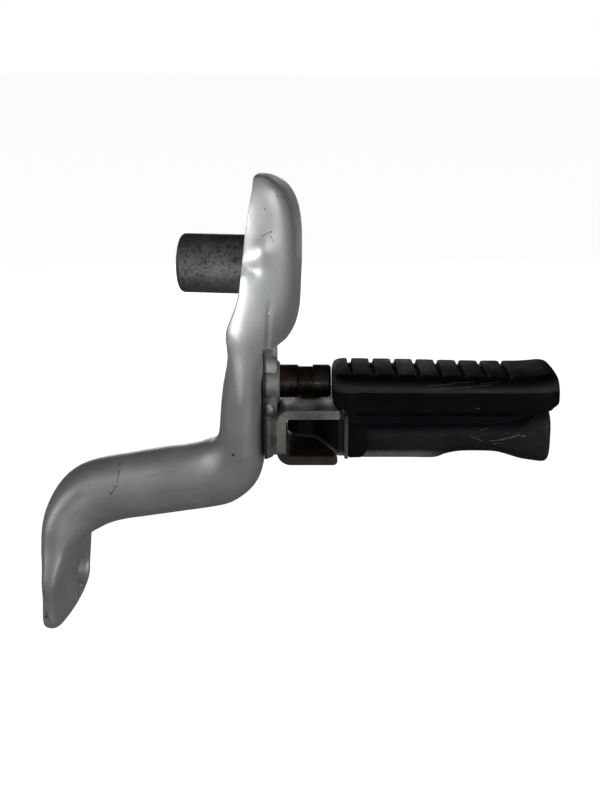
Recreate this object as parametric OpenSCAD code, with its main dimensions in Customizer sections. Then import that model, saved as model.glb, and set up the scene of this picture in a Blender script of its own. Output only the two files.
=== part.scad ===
// Motorcycle footpeg: a formed tube arm with a folding rubber peg.
// X runs along the mounting collar, from the frame side to the peg side.
// Y runs away from the front of the arm, and Z runs up.
// The origin is on the collar's axis, just inside its end face.

/* [Mounting collar] */
// Outer diameter of the collar
collar_od = 28.8; // [24:0.2:32]
// Diameter of the collar's bore
collar_bore = 12.5; // [8:0.5:14]
// Position of the collar's end face
collar_start = -1.4; // [-2:0.1:0]
// Distance from the origin to the collar's seat in the arm
collar_length = 50; // [48:0.5:50]
// Rounding of the collar's rim
collar_rim = 2.4; // [0.5:0.1:3]

/* [Arm] */
// Radius of the tube where it is still round
tube_r = 16; // [14:0.5:17]
// Wall of the tube
tube_wall = 2.8; // [2:0.1:3.5]
// Radius of the bend under the clevis
upper_bend_r = 21; // [19:0.5:23]
// Radius of the bend above the lower ear
lower_bend_r = 26; // [22:1:28]
// Slope of the tube between the two bends, in degrees
run_slope = 12; // [8:0.5:13]
// Middle of the lower ear along X
ear_x = -67.8; // [-72:0.2:-64]
// Half the thickness of the lower ear
ear_half_t = 5.2; // [4:0.1:6]
// Half the width of the lower ear
ear_half_w = 29; // [26:1:30]
// Diameter of the lower bolt hole
ear_bore = 18; // [12:0.5:20]
// Position of the lower bolt hole behind the middle of the tube
ear_bore_y = 9; // [4:1:10]
// Height of the lower bolt hole
ear_bore_z = -171; // [-172:0.5:-168]

/* [Peg side] */
// Turn of the peg side about the vertical, in degrees
sweep = 8; // [4:1:10]
// Face of the arm that carries the peg side
seat_x = 40; // [40:0.5:41]
// Depth of the flat seat in the arm
seat_depth = 1.2; // [1:0.1:1.5]

/* [Base plate] */
// Thickness of the base plate
plate_t = 6.8; // [5:0.2:8]
// Front edge of the base plate
plate_front = -8; // [-10:0.5:-6]
// Rear edge of the base plate
plate_rear = 16; // [12:0.5:18]
// Top of the base plate
plate_top = -42.5; // [-46:0.5:-42]
// Bottom of the base plate
plate_bottom = -95; // [-97:0.5:-94]

/* [Pedal pivot] */
// Height of the pivot's axis
pivot_z = -58.6; // [-60:0.1:-58]
// Radius of the boss
boss_r = 10.2; // [9:0.1:11]
// Length of the boss past the seat
boss_reach = 7; // [6:0.1:8]
// Radius of the pivot's lands
land_r = 8.3; // [7:0.1:8.5]
// Radius in the pivot's groove
groove_r = 7.4; // [6:0.1:7.6]
// Start and end of the groove
groove_span = [16.4, 23.2];
// Free end of the pivot
pivot_end = 32.4; // [30:0.1:33]
// Radius of the spigot inside the boss
spigot_r = 6; // [5:0.1:7]

/* [Clevis] */
// Sheet thickness of the clevis
sheet = 4.5; // [3.5:0.1:5]
// Top of the clevis
clevis_top = -68.8; // [-69:0.1:-68]
// Height of the clevis
clevis_h = 28.2; // [27:0.1:29]
// Outer bend radius of the clevis
clevis_bend = 7; // [5.5:0.1:7.5]
// Front edge of the clevis
clevis_front = -18; // [-20:0.5:-16]
// Reach of the top flange past the web's back face
clevis_reach = 32.4; // [30:0.1:33]
// How much shorter the bottom flange is
bottom_short = 2.4; // [0:0.1:4]
// Radius of the eye around the fold pin
eye_r = 13; // [12:0.5:13]

/* [Fold pin] */
// Place of the fold pin along and across the peg
pin_at = [22, 20];
// Radius of the fold pin
pin_r = 4; // [3.5:0.1:4.5]
// Running clearance on radius
running_gap = 0.05; // [0.02:0.01:0.1]
// Radius of the pin's head
pin_head_r = 7; // [6:0.5:8]
// Thickness of the pin's head
pin_head_t = 3; // [2:0.5:3.5]
// Outer radius of the bush in the knuckle
bush_r = 6; // [5.5:0.1:6.5]
// Thickness of the washer under the clevis
washer_t = 1.5; // [1:0.1:2]
// Radius of the knuckle
knuckle_r = 11.4; // [10:0.1:11.4]
// Chamfer of the knuckle's edges, which clears the clevis's bends
knuckle_ease = 1.8; // [1.5:0.1:2.2]
// Gap above and below the knuckle
knuckle_gap = 0.4; // [0.3:0.1:0.6]
// Wire radius of the return spring
spring_wire = 0.8; // [0.6:0.1:0.9]
// Middle radius of the return spring
spring_r = 6.8; // [6:0.1:7]
// Depth of the spring's well in the knuckle
spring_well = 7.2; // [6.5:0.1:8]
// Turns of the return spring
spring_turns = 3; // [2:1:3]

/* [Peg] */
// Inner face of the end plate
end_plate_x = 38.9; // [38.8:0.1:39.5]
// Thickness of the end plate
end_plate_t = 1.8; // [1.5:0.1:2.2]
// Bottom of the end plate
end_plate_bottom = -93.2; // [-94:0.1:-92]
// Height of the end plate
end_plate_h = 22; // [20:0.5:24]
// Half the width of the end plate
end_plate_half_w = 19; // [17:0.5:20]
// Half the width of the bar behind the end plate
bar_half_w = 13; // [11:0.5:14]
// Bottom and top of the bar behind the end plate
bar_z = [-90, -76.4];
// Where the bar widens to its full section
core_start = 48; // [46:0.5:50]
// Outer end of the peg's core
core_end = 140; // [136:1:142]
// Inner end of the rubber
rubber_start = 33; // [32.8:0.1:35]
// Outer end of the rubber
rubber_end = 144.6; // [143:0.2:146]
// Height of the tread's top face
tread_top = -51; // [-52:0.5:-50]
// Half the width of the rubber
rubber_half_w = 22; // [20:0.5:23]
// Length, half width, bottom and top of the block that wraps the bar's inner end
wrap_length = 10.1; // [9:0.1:11]
wrap_half_w = 18.5; // [17:0.5:19]
wrap_z = [-93, -68];
// Height of the rubber's underside over the clevis
overhang_z = -67.6; // [-68:0.1:-66]
// Half the length that a groove is open on the near side
groove_near = 15; // [13:0.5:17]
// Number of tread grooves
groove_count = 8; // [4:1:8]
// First tread groove
groove_first = 42; // [41:0.5:43]
// Distance between tread grooves
groove_pitch = 11; // [10:0.5:11]
// Width of a tread groove
tread_groove_w = 2; // [1.5:0.1:3]
// Depth of a tread groove
tread_groove_d = 4; // [2:0.5:5]
// Places of the rubber's screws along the peg
screw_places = [62, 106];
// Radius of a screw's shank
screw_r = 3; // [2:0.5:4]
// Radius of a screw's head
screw_head_r = 5; // [4:0.5:6]
// Height of a screw's head
screw_head_t = 3.5; // [2.5:0.5:4]
// Radius and thickness of a screw's washer
screw_washer_r = 6; // [5:0.5:7]
screw_washer_t = 1.2; // [0.8:0.1:1.5]
// Radius of the pocket around a screw's washer
screw_pocket_r = 6.5; // [6:0.5:7.5]
// Bottom of the pocket, where the washer sits
screw_seat = -89; // [-90:0.5:-88]
// Upper end of a screw's shank
screw_top = -70; // [-72:0.5:-69]

/* [Hidden] */
fine = 64;
ring_sides = 32;
bore_sides = 20;
core_sides = 28;
pad_sides = 36;
// Power that makes the peg's sections rounded rectangles
peg_square = 0.62;
steps_per_row = 2;
rib_half_w = 9;
rib_top = -62;
plate_x0 = -seat_depth;
web_x0 = plate_x0 + plate_t;
clevis_bottom = clevis_top - clevis_h;
inner_top = clevis_top - sheet;
inner_bottom = clevis_bottom + sheet;
knuckle_bottom = inner_bottom + knuckle_gap;
split_pin_r = 1.25;
split_pin_z = clevis_bottom - washer_t - 2;
spring_floor = inner_top - knuckle_gap - spring_well;
neck_top = inner_top - knuckle_gap;
end_plate_out = end_plate_x + end_plate_t;
paint = [0.62, 0.63, 0.63];
bare = [0.52, 0.5, 0.47];
rust = [0.36, 0.26, 0.2];
black = [0.09, 0.09, 0.1];

// Smooth value between whole rows of a table, at the row number t
function spline(p0, p1, p2, p3, u) = 0.5 * (2 * p1 + (p2 - p0) * u + (2 * p0 - 5 * p1 + 4 * p2 - p3) * u * u
    + (3 * p1 - p0 - 3 * p2 + p3) * u * u * u);
function at_row(rows, t) =
    let (n = len(rows) - 1, i = min(floor(t), n - 1), u = t - i)
    spline(rows[max(i - 1, 0)], rows[i], rows[i + 1], rows[min(i + 2, n)], u);
// Signed power, which turns an ellipse into a rounded rectangle
function spow(v, e) = sign(v) * pow(abs(v), e);
function arc(centre, r, from, to, n) =
    [for (i = [0 : n]) centre + r * [cos(from + (to - from) * i / n), sin(from + (to - from) * i / n)]];

function bezier(p0, p1, p2, n) =
    [for (i = [0 : n]) let (u = i / n) (1 - u) * (1 - u) * p0 + 2 * u * (1 - u) * p1 + u * u * p2];

// One closed solid through a list of rings
module skin(rings) {
    n = len(rings[0]);
    m = len(rings);
    sides = [for (k = [0 : m - 2]) for (i = [0 : n - 1])
        [k * n + i, k * n + (i + 1) % n, (k + 1) * n + (i + 1) % n, (k + 1) * n + i]];
    halves = [for (f = sides) each [[f[0], f[2], f[1]], [f[0], f[3], f[2]]]];
    first = [[for (i = [0 : n - 1]) i]];
    last = [[for (i = [n - 1 : -1 : 0]) (m - 1) * n + i]];
    polyhedron(points = [for (r = rings) each r], faces = concat(halves, first, last));
}

// A row of the arm: x, z, tilt, half width, half thickness, middle y, bow, lean, taper
bend1_c = [27.4 - upper_bend_r, -88.5];
run_tilt = 90 - run_slope;
function bend1(a) = bend1_c + upper_bend_r * [cos(a), -sin(a)];
run_start = bend1(run_tilt);
bend2_x = ear_x + lower_bend_r;
run_end_x = bend2_x - lower_bend_r * cos(run_tilt);
function run_z(x) = run_start[1] + (x - run_start[0]) * tan(run_slope);
bend2_c = [bend2_x, run_z(run_end_x) - lower_bend_r * sin(run_tilt)];
function bend2(a) = bend2_c + lower_bend_r * [-cos(a), sin(a)];
function tube_row(at, tilt, half_w, half_t, bow = 0) = [at[0], at[1], tilt, half_w, half_t, 0, bow, 0, 0];
arm_rows = [
    [40, 45.6, 0, 5, 1.8, -17, 1, 0, 0],
    [39.5, 44.2, 0, 11, 2.8, -13, 3.6, 0, 0],
    [39, 39, 0, 19, 3, -7, 9.3, 0, 0],
    [37.5, 30, 0, 25, 3, -2, 14.2, 0, 0],
    [35.6, 18, 0, 28, 3, 1, 17.6, 0, 0],
    [33.8, 2, 0, 29, 3.2, 2, 19.2, 0, 0],
    [33.5, -12, 0, 29, 5, 3, 16.8, 0.05, 0.2],
    [33.4, -25, 0, 28, 7.6, 3, 12.2, 0.18, 0.3],
    [32.4, -34, 0, 26, 9.2, 2, 9, 0.22, 0.25],
    [31.9, -41, 0, 23, 10, 1, 5, 0.16, 0.15],
    [30.3, -50, 0, 20.5, 10.2, 0, 1, 0.04, 0.05],
    [29.4, -60, 0, 19.5, 10.3, 0, 0, 0, 0],
    tube_row([28.3, -76], 0, 19, 10.8),
    tube_row([27.4, -87], 0, 18.5, 11.4),
    tube_row(bend1(15), 15, 18, 12.6),
    tube_row(bend1(38), 38, 17.2, 17, -1.1),
    tube_row(bend1(60), 60, 16.8, 17.9, -0.6),
    tube_row(run_start, run_tilt, tube_r, tube_r + 1.5),
    tube_row([-8, run_z(-8)], run_tilt, tube_r, tube_r + 1.4),
    tube_row([-28, run_z(-28)], run_tilt, tube_r, tube_r + 1.2),
    tube_row(bend2(run_tilt), run_tilt, 17, 17, 0.4),
    tube_row(bend2(52), 52, 20, 17, 2.4),
    tube_row(bend2(26), 26, 23.5, 13.8, 2),
    tube_row(bend2(0), 0, 26, 10.2, 0.8),
    [ear_x, -156, 0, 28, 7.6, -1, 0, 0.02, 0],
    [ear_x - 0.3, -164, 0, ear_half_w, 6.2, -2, 0, 0.04, 0],
    [ear_x - 0.6, -173, 0, ear_half_w - 0.5, ear_half_t, -2.5, 0, 0.05, 0],
    [ear_x - 1, -180.5, 0, 28, ear_half_t, -3, 0, 0.05, 0],
    [ear_x - 1.2, -184.6, 0, 24.5, ear_half_t, -6.5, 0, 0.05, 0],
    [ear_x - 1.4, -187.4, 0, 19, 4.8, -11, 0, 0.05, 0],
    [ear_x - 1.4, -189.2, 0, 12, 3.8, -16, 0, 0.05, 0],
    [ear_x - 1.4, -190, 0, 5, 2.6, -20, 0, 0.05, 0]
];
// A point of the arm's skin in row r at angle a, moved inwards by the wall w
function arm_point(r, a, w) =
    let (
        hw = r[3] - w,
        ht = r[4] - w,
        flat = 1 - 0.45 * max(0, 1 - r[4] / r[3]),
        p = hw * spow(cos(a), flat),
        q = ht * spow(sin(a), flat) * (1 - r[8] * cos(a)) + r[6] * (1 - pow(cos(a), 4)) + r[7] * p
    )
    [r[0] + q * cos(r[2]), r[5] + p, r[1] - q * sin(r[2])];
function arm_ring(t, sides, w) =
    let (r = at_row(arm_rows, t)) [for (i = [0 : sides - 1]) arm_point(r, 360 * i / sides, w)];
module arm_skin(from, to, sides, w) {
    steps = (to - from) * steps_per_row;
    skin([for (k = [0 : steps]) arm_ring(from + k / steps_per_row, sides, w)]);
}

module peg_frame() {
    translate([seat_x, 0, 0]) rotate([0, 0, sweep]) children();
}
// A turned piece along the peg's direction, from [radius, position] pairs
module turned_x(points, z) {
    translate([0, 0, z]) rotate([90, 0, 90]) rotate_extrude($fn = fine) polygon(points);
}
module upright(at, r, bottom, top) {
    translate([at[0], at[1], bottom]) cylinder(r = r, h = top - bottom, $fn = fine);
}

module collar_weld_shape() {
    r = collar_od / 2;
    leg = 3.2;
    rotate([90, 0, 90]) rotate_extrude($fn = fine)
        polygon([[r, collar_length - leg], [r + leg, collar_length], [r, collar_length]]);
}
module bracket_arm() {
    color(paint) difference() {
        arm_skin(0, len(arm_rows) - 1, ring_sides, 0);
        arm_skin(9, 22, bore_sides, tube_wall);
        rotate([0, 90, 0]) cylinder(d = collar_od, h = collar_length, $fn = fine);
        collar_weld_shape();
        translate([ear_x - 20, ear_bore_y, ear_bore_z]) rotate([0, 90, 0]) cylinder(d = ear_bore, h = 40, $fn = fine);
        peg_frame() translate([plate_x0, -30, plate_bottom - 8]) cube([20, 60, plate_top - plate_bottom + 12]);
    }
}
module mounting_collar() {
    r = collar_od / 2;
    ease = 0.8;
    rim = arc([r - collar_rim, collar_start + collar_rim], collar_rim, -90, 0, 6);
    color(bare) rotate([90, 0, 90]) rotate_extrude($fn = fine)
        polygon(concat([[collar_bore / 2, collar_start + ease], [collar_bore / 2 + ease, collar_start]], rim,
            [[r, collar_length], [collar_bore / 2, collar_length]]));
}
module collar_weld() {
    color(paint) collar_weld_shape();
}

module base_plate() {
    color(paint) peg_frame() difference() {
        translate([plate_x0, plate_front, plate_bottom])
            cube([plate_t, plate_rear - plate_front, plate_top - plate_bottom]);
        translate([plate_x0 - 1, 0, pivot_z]) rotate([0, 90, 0]) cylinder(r = boss_r, h = plate_t + 2, $fn = fine);
        translate([web_x0, 0, plate_top]) rotate([0, 45, 0]) cube([3, 60, 3], center = true);
    }
}
module pivot_boss() {
    color(paint) peg_frame() turned_x([[spigot_r, plate_x0], [boss_r, plate_x0], [boss_r, boss_reach - 0.8],
        [boss_r - 0.8, boss_reach], [spigot_r, boss_reach]], pivot_z);
}
module pedal_pivot() {
    ease = 0.8;
    g0 = groove_span[0];
    g1 = groove_span[1];
    color(rust) peg_frame() turned_x([[0, plate_x0], [spigot_r, plate_x0], [spigot_r, boss_reach],
        [land_r, boss_reach], [land_r, g0 - ease], [groove_r, g0], [groove_r, g1], [land_r, g1 + 0.3],
        [land_r, pivot_end - 1.2], [land_r - 1.2, pivot_end], [0, pivot_end]], pivot_z);
}
module boss_weld() {
    bead_r = 3;
    color(paint) peg_frame() difference() {
        union() {
            for (i = [0 : 2])
                translate([1.5 + 0.8 * i, plate_front, pivot_z - boss_r - 3 - 1.6 * i]) sphere(r = bead_r - 0.3 * i, $fn = fine);
        }
        translate([-10, plate_front, pivot_z - 30]) cube([30, 20, 60]);
        translate([-10, 0, pivot_z]) rotate([0, 90, 0]) cylinder(r = boss_r, h = 30, $fn = fine);
        translate([web_x0, -30, clevis_bottom]) cube([20, 60, 40]);
        translate([-10, -30, clevis_top - clevis_bend - 20]) cube([30, 60, 20]);
    }
}

module clevis_profile() {
    out = clevis_bend;
    in = clevis_bend - sheet;
    x0 = web_x0;
    tips = [clevis_reach - bottom_short, clevis_reach];
    levels = [clevis_bottom, clevis_top - sheet];
    difference() {
        union() {
            for (i = [0, 1]) {
                translate([x0 + out, levels[i]]) square([tips[i] - out - sheet / 2, sheet]);
                translate([x0 + tips[i] - sheet / 2, levels[i] + sheet / 2]) circle(d = sheet, $fn = fine);
            }
            translate([x0, clevis_bottom + out]) square([out, clevis_h - 2 * out]);
            for (z = [clevis_bottom + out, clevis_top - out]) translate([x0 + out, z]) circle(r = out, $fn = fine);
        }
        translate([x0 + out, inner_bottom]) square([60, inner_top - inner_bottom]);
        translate([x0 + sheet, inner_bottom + in]) square([60, inner_top - inner_bottom - 2 * in]);
        for (z = [inner_bottom + in, inner_top - in]) translate([x0 + out, z]) circle(r = in, $fn = fine);
    }
}
module clevis() {
    tip = web_x0 + clevis_reach;
    outline = concat([[web_x0 - 1, clevis_front], [tip - 3, clevis_front]],
        arc([tip - 3, clevis_front + 3], 3, -90, 0, 4), [[tip - 0.6, -3]],
        arc(pin_at, eye_r, -10, 90, 12), [[web_x0 - 1, pin_at[1] + eye_r]]);
    color(bare) peg_frame() difference() {
        intersection() {
            translate([0, 60, 0]) rotate([90, 0, 0]) linear_extrude(120) clevis_profile();
            translate([0, 0, clevis_bottom - 1]) linear_extrude(clevis_h + 2) polygon(outline);
        }
        upright(pin_at, pin_r, clevis_bottom - 1, clevis_top + 1);
    }
}
module clevis_welds() {
    leg = 3;
    color(paint) peg_frame() {
        translate([web_x0, plate_front, clevis_bottom + clevis_bend]) linear_extrude(clevis_h - 2 * clevis_bend)
            polygon([[0, 0], [-leg, 0], [-leg * 0.55, -leg * 0.55], [0, -leg]]);
        translate([web_x0, plate_rear, clevis_bottom + clevis_bend]) linear_extrude(clevis_h - 2 * clevis_bend)
            polygon([[0, 0], [0, leg], [-leg * 0.55, leg * 0.55], [-leg, 0]]);
        translate([plate_x0 + 0.4, plate_rear - 1, plate_bottom]) rotate([90, 0, 0])
            linear_extrude(plate_rear - plate_front - 2) polygon([[0, 0], [5, 0], [4, -1.4], [2, -2.4], [0, -2.8]]);
    }
}

module fold_pin() {
    shank_end = clevis_bottom - washer_t - 5;
    color(bare) peg_frame() difference() {
        union() {
            upright(pin_at, pin_r, shank_end, clevis_top);
            upright(pin_at, pin_head_r, clevis_top, clevis_top + pin_head_t);
        }
        translate([pin_at[0], pin_at[1] + 10, split_pin_z]) rotate([90, 0, 0])
            cylinder(r = split_pin_r, h = 20, $fn = fine);
    }
}
module pin_washer() {
    color(bare) peg_frame() difference() {
        upright(pin_at, pin_head_r + 1, clevis_bottom - washer_t, clevis_bottom);
        upright(pin_at, pin_r, clevis_bottom - washer_t - 1, clevis_bottom + 1);
    }
}
module split_pin() {
    loop_y = pin_head_r + 4.5;
    loop_r = 2.4;
    tail = 7;
    color(bare) peg_frame() translate([pin_at[0], pin_at[1], split_pin_z]) {
        rotate([90, 0, 0]) translate([0, 0, -tail]) cylinder(r = split_pin_r, h = tail + loop_y - loop_r, $fn = fine);
        translate([0, -loop_y, 0]) rotate([0, 90, 0])
            rotate_extrude($fn = fine) translate([loop_r, 0]) circle(r = 0.9, $fn = fine);
    }
}
// The spring's wire: a coil around the pin with a leg at each end
module return_spring() {
    pitch = 2 * spring_wire + 0.2;
    base = spring_floor + spring_wire + 0.3;
    turns = [for (i = [0 : 16 * spring_turns]) [
        pin_at[0] + spring_r * cos(22.5 * i + 200),
        pin_at[1] + spring_r * sin(22.5 * i + 200),
        base + pitch * i / 16]];
    n = len(turns) - 1;
    sides = 8;
    rings = [for (k = [0 : n])
        let (
            d = turns[min(k + 1, n)] - turns[max(k - 1, 0)],
            t = d / norm(d),
            u0 = cross(t, [0, 0, 1]),
            u = u0 / norm(u0),
            v = cross(u, t)
        )
        [for (i = [0 : sides - 1]) turns[k] + spring_wire * (u * cos(45 * i) + v * sin(45 * i))]];
    color(bare) peg_frame() skin(rings);
}
module pin_bush() {
    color([0.6, 0.5, 0.3]) peg_frame() difference() {
        upright(pin_at, bush_r, knuckle_bottom, spring_floor);
        upright(pin_at, pin_r + running_gap, knuckle_bottom - 1, spring_floor + 1);
    }
}

// A row of the peg: position, middle height, half height, half width
core_rows = [
    [end_plate_out, -83.2, 6.8, bar_half_w],
    [core_start - 0.2, -83.2, 6.8, bar_half_w],
    [core_start, -86, 10.2, 16],
    [60, -86, 10.2, 16],
    [84, -86, 10.2, 16],
    [90, -85, 9.2, 15.5],
    [98, -84.3, 8.5, 15.5],
    [112, -84.3, 8.5, 16],
    [118, -84.7, 9, 17],
    [126, -84.8, 11.3, 18.6],
    [132, -83.4, 13.8, 19.6],
    [137, -83.2, 14.6, 20],
    [139, -83.2, 14.2, 19.4],
    [core_end, -83.2, 13, 18]
];
pad_rows = [
    [rubber_start, -59, 6.5, 14],
    [rubber_start + 0.9, -59, 8, 18],
    [rubber_start + 3, -59, 8.7, 20.5],
    [39, -59.1, 8.9, 21.5],
    [41, -62.1, 11.8, rubber_half_w],
    [46, -62.9, 12.5, rubber_half_w],
    [60, -63, 12.4, rubber_half_w],
    [90, -63.4, 12.1, rubber_half_w],
    [120, -63.5, 11.8, rubber_half_w],
    [128, -62.7, 11, 21.5],
    [135, -60.9, 9.8, 21],
    [140, -60, 9.4, 20.2],
    [142.4, -60.1, 8.4, 18.8],
    [144, -60.8, 6.4, 16.5],
    [rubber_end, -62, 3.6, 13.5]
];
function peg_ring(r, sides, square) = [for (i = [0 : sides - 1])
    let (a = 360 * i / sides) [r[0], r[3] * spow(cos(a), square), r[1] + r[2] * spow(sin(a), square)]];
module peg_skin(rows, sides, square) {
    skin([for (r = rows) peg_ring(r, sides, square)]);
}
// The neck in plan: its front sweeps out in a cove to the end plate
module neck_plan() {
    out = end_plate_x;
    front = pin_at[1] - knuckle_r + knuckle_ease;
    rear = pin_at[1] + knuckle_r - knuckle_ease;
    side = 1.4 - end_plate_half_w;
    cove = bezier([pin_at[0] + 2, front], [pin_at[0] + 6, 5], [out - 2.9, side], 10);
    polygon(concat([[pin_at[0], front]], cove, [[out, side], [out, pin_at[1] - 1], [pin_at[0] + 8, rear - 1],
        [pin_at[0], rear]]));
}
module knuckle() {
    r = knuckle_r;
    e = knuckle_ease;
    translate([pin_at[0], pin_at[1], 0]) rotate_extrude($fn = fine)
        polygon([[0, knuckle_bottom], [r - e, knuckle_bottom], [r, knuckle_bottom + e], [r, neck_top - e],
            [r - e, neck_top], [0, neck_top]]);
}
module bar_block() {
    translate([end_plate_x - 1, -bar_half_w, bar_z[0]]) cube([8, 2 * bar_half_w, bar_z[1] - bar_z[0]]);
}
module core_body() {
    difference() {
        union() {
            knuckle();
            translate([0, 0, knuckle_bottom]) linear_extrude(neck_top - knuckle_bottom) neck_plan();
            bar_block();
            peg_skin(core_rows, core_sides, peg_square);
            translate([core_start + 1, -rib_half_w, bar_z[1] - 4])
                cube([core_end - core_start - 9, 2 * rib_half_w, rib_top - bar_z[1] + 4]);
        }
        upright(pin_at, spring_r + spring_wire + 0.8, spring_floor, neck_top + 1);
    }
}
module peg_core() {
    color(black) peg_frame() difference() {
        core_body();
        upright(pin_at, bush_r, knuckle_bottom - 1, spring_floor + 1);
        for (x = screw_places) {
            upright([x, 0], screw_pocket_r, end_plate_bottom - 10, screw_seat);
            upright([x, 0], screw_r, end_plate_bottom - 10, screw_top);
        }
    }
}
module peg_end_plate() {
    color(bare) peg_frame() difference() {
        translate([end_plate_x, -end_plate_half_w, end_plate_bottom])
            cube([end_plate_t, 2 * end_plate_half_w, end_plate_h]);
        bar_block();
    }
}
module peg_rubber() {
    color(black) peg_frame() difference() {
        union() {
            peg_skin(pad_rows, pad_sides, peg_square);
            translate([end_plate_out, -wrap_half_w, wrap_z[0]]) cube([wrap_length, 2 * wrap_half_w, wrap_z[1] - wrap_z[0]]);
        }
        translate([rubber_start - 5, -rubber_half_w - 5, overhang_z - 20])
            cube([end_plate_out - rubber_start + 5, 2 * rubber_half_w + 10, 20]);
        for (i = [0 : groove_count - 1])
            translate([groove_first + groove_pitch * i - tread_groove_w / 2, -groove_near, tread_top - tread_groove_d])
                cube([tread_groove_w, groove_near + rubber_half_w + 5, tread_groove_d + 10]);
        core_body();
    }
}
module rubber_screws() {
    color(bare) peg_frame() for (x = screw_places) {
        upright([x, 0], screw_r, screw_seat - screw_washer_t, screw_top);
        upright([x, 0], screw_head_r, screw_seat - screw_washer_t - screw_head_t, screw_seat - screw_washer_t);
    }
}
module screw_washers() {
    color(bare) peg_frame() for (x = screw_places) difference() {
        upright([x, 0], screw_washer_r, screw_seat - screw_washer_t, screw_seat);
        upright([x, 0], screw_r, screw_seat - screw_washer_t - 1, screw_seat + 1);
    }
}

bracket_arm();
mounting_collar();
collar_weld();
base_plate();
pivot_boss();
pedal_pivot();
boss_weld();
clevis();
clevis_welds();
fold_pin();
pin_washer();
split_pin();
return_spring();
pin_bush();
peg_core();
peg_end_plate();
peg_rubber();
rubber_screws();
screw_washers();
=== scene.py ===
"""A motorcycle footpeg: formed tube arm, mounting collar, pedal pivot, clevis and folding rubber peg."""

import math

import bmesh
import bpy
from mathutils import Matrix, Vector


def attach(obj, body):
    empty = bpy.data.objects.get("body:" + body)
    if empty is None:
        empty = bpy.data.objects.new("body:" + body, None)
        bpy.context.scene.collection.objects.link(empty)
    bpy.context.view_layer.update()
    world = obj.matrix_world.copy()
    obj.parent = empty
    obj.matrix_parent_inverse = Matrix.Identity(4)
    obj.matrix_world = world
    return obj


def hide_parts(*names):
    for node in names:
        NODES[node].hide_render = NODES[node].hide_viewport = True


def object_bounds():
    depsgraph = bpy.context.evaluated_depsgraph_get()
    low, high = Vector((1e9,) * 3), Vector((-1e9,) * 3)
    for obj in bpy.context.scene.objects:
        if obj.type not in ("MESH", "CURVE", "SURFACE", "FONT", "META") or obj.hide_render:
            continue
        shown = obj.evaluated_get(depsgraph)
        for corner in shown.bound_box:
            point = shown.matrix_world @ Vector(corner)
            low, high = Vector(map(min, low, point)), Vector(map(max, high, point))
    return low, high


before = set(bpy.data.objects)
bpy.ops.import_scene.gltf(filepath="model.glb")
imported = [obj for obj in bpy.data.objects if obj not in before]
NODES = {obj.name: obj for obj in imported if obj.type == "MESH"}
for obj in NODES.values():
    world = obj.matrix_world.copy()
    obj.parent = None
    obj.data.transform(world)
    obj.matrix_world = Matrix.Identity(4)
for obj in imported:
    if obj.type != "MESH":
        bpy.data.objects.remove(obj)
cad_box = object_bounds()
MM = 0.001

# The arm, in millimetres in the row frame
TUBE_R = 16
UPPER_BEND_R = 21
LOWER_BEND_R = 26
RUN_SLOPE = 12
RUN_TILT = 90 - RUN_SLOPE
EAR_X = -67.8
EAR_HALF_T = 5.2
EAR_HALF_W = 29
EAR_BORE_R = 9
EAR_BORE = (9, -171)
COLLAR_R = 14.4
COLLAR_BORE_R = 6.25
COLLAR_START = -1.4
COLLAR_LENGTH = 50
COLLAR_RIM = 2.4

# The peg side stands on the seat and is turned by the sweep
SEAT_X = 40
SEAT_DEPTH = 1.2
SWEEP = math.radians(8)
PLATE_TOP = -42.5
PLATE_BOTTOM = -95
PLATE_FRONT = -8
PIN_AT = (22, 20)
KNUCKLE_R = 11.4
KNUCKLE_EASE = 1.8
SPRING_WELL_R = 8.4
KNUCKLE_Z = (-92.1, -80.9)
BUSH_R = 6
NECK_TOP = -73.7
NECK_SIDE = -17.6
END_PLATE_X = 38.9
BLOCK_START = 40.7
BLOCK_HALF_W = 18.9
CORE_START = 48
CORE_END = 140
BAR_HALF_W = 13
BAR_Z = (-90, -76.4)
RUBBER_START = 33
RUBBER_END = 144.6
GROOVE_FIRST = 42
GROOVE_PITCH = 11
GROOVE_COUNT = 8
GROOVE_DEPTH = 3.6

# Where the grooves run out on each side: how far from the middle, and over what length
GROOVE_NEAR = (14, 2.5)
GROOVE_FAR = (18, 3.5)

# The tread's section: the crown's share of the half width, its fall, the shoulder's drop, and the lip
CROWN_SHARE = 0.62
CROWN_FALL = 0.5
SHOULDER_DROP = 7.4
LIP_HEIGHT = 1.2
LIP_WIDTH = 1.4

# The camera, as worked out from the photograph
FOCAL_PX = 1250
LONG_SIDE_PX = 800
IMAGE_CENTRE = (300, 400)
SENSOR_MM = 36
CAMERA_AZIMUTH = 8
CAMERA_ELEVATION = 17
CAMERA_DISTANCE = 0.625
CAMERA_TARGET = Vector((0.0572, 0, -0.068))

# The greys of the world at the horizon and overhead, which the camera itself doesn't see, and how they fade
# towards the rear
SKY_GREYS = ((0.0, 0.33), (0.9, 0.07))
REAR_FROM = (-0.3, 0.7)
REAR_TO = (1.15, 0.15)

# The floor's half size, its drop below the arm in metres, its grey and roughness, and its glow for the camera
FLOOR_HALF = 8.0
FLOOR_DROP = 0.06
FLOOR_GREY = 0.35
FLOOR_ROUGHNESS = 0.9
FLOOR_GLOW = 0.93

# The soft lamps: name, place, width and power, all aimed at one point
LAMPS = [
    ("key", (-1.4, -1.0, 0.6), 1.2, 7),
    ("fill", (1.2, -0.9, 0.1), 0.8, 7),
    ("low", (0.2, -1.3, -0.15), 0.4, 0.8),
    ("back", (-0.2, 1.3, -0.1), 0.8, 6),
]
LAMP_AIM = Vector((0.05, 0, -0.07))

# A narrow lamp for the bright spot beside the collar
KICKER_AT = Vector((0.01, -0.54, -0.175))
KICKER_AIM = Vector((0.04, -0.022, 0.006))
KICKER_CONE = 6.4
KICKER_RADIUS = 0.05
KICKER_POWER = 35

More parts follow.
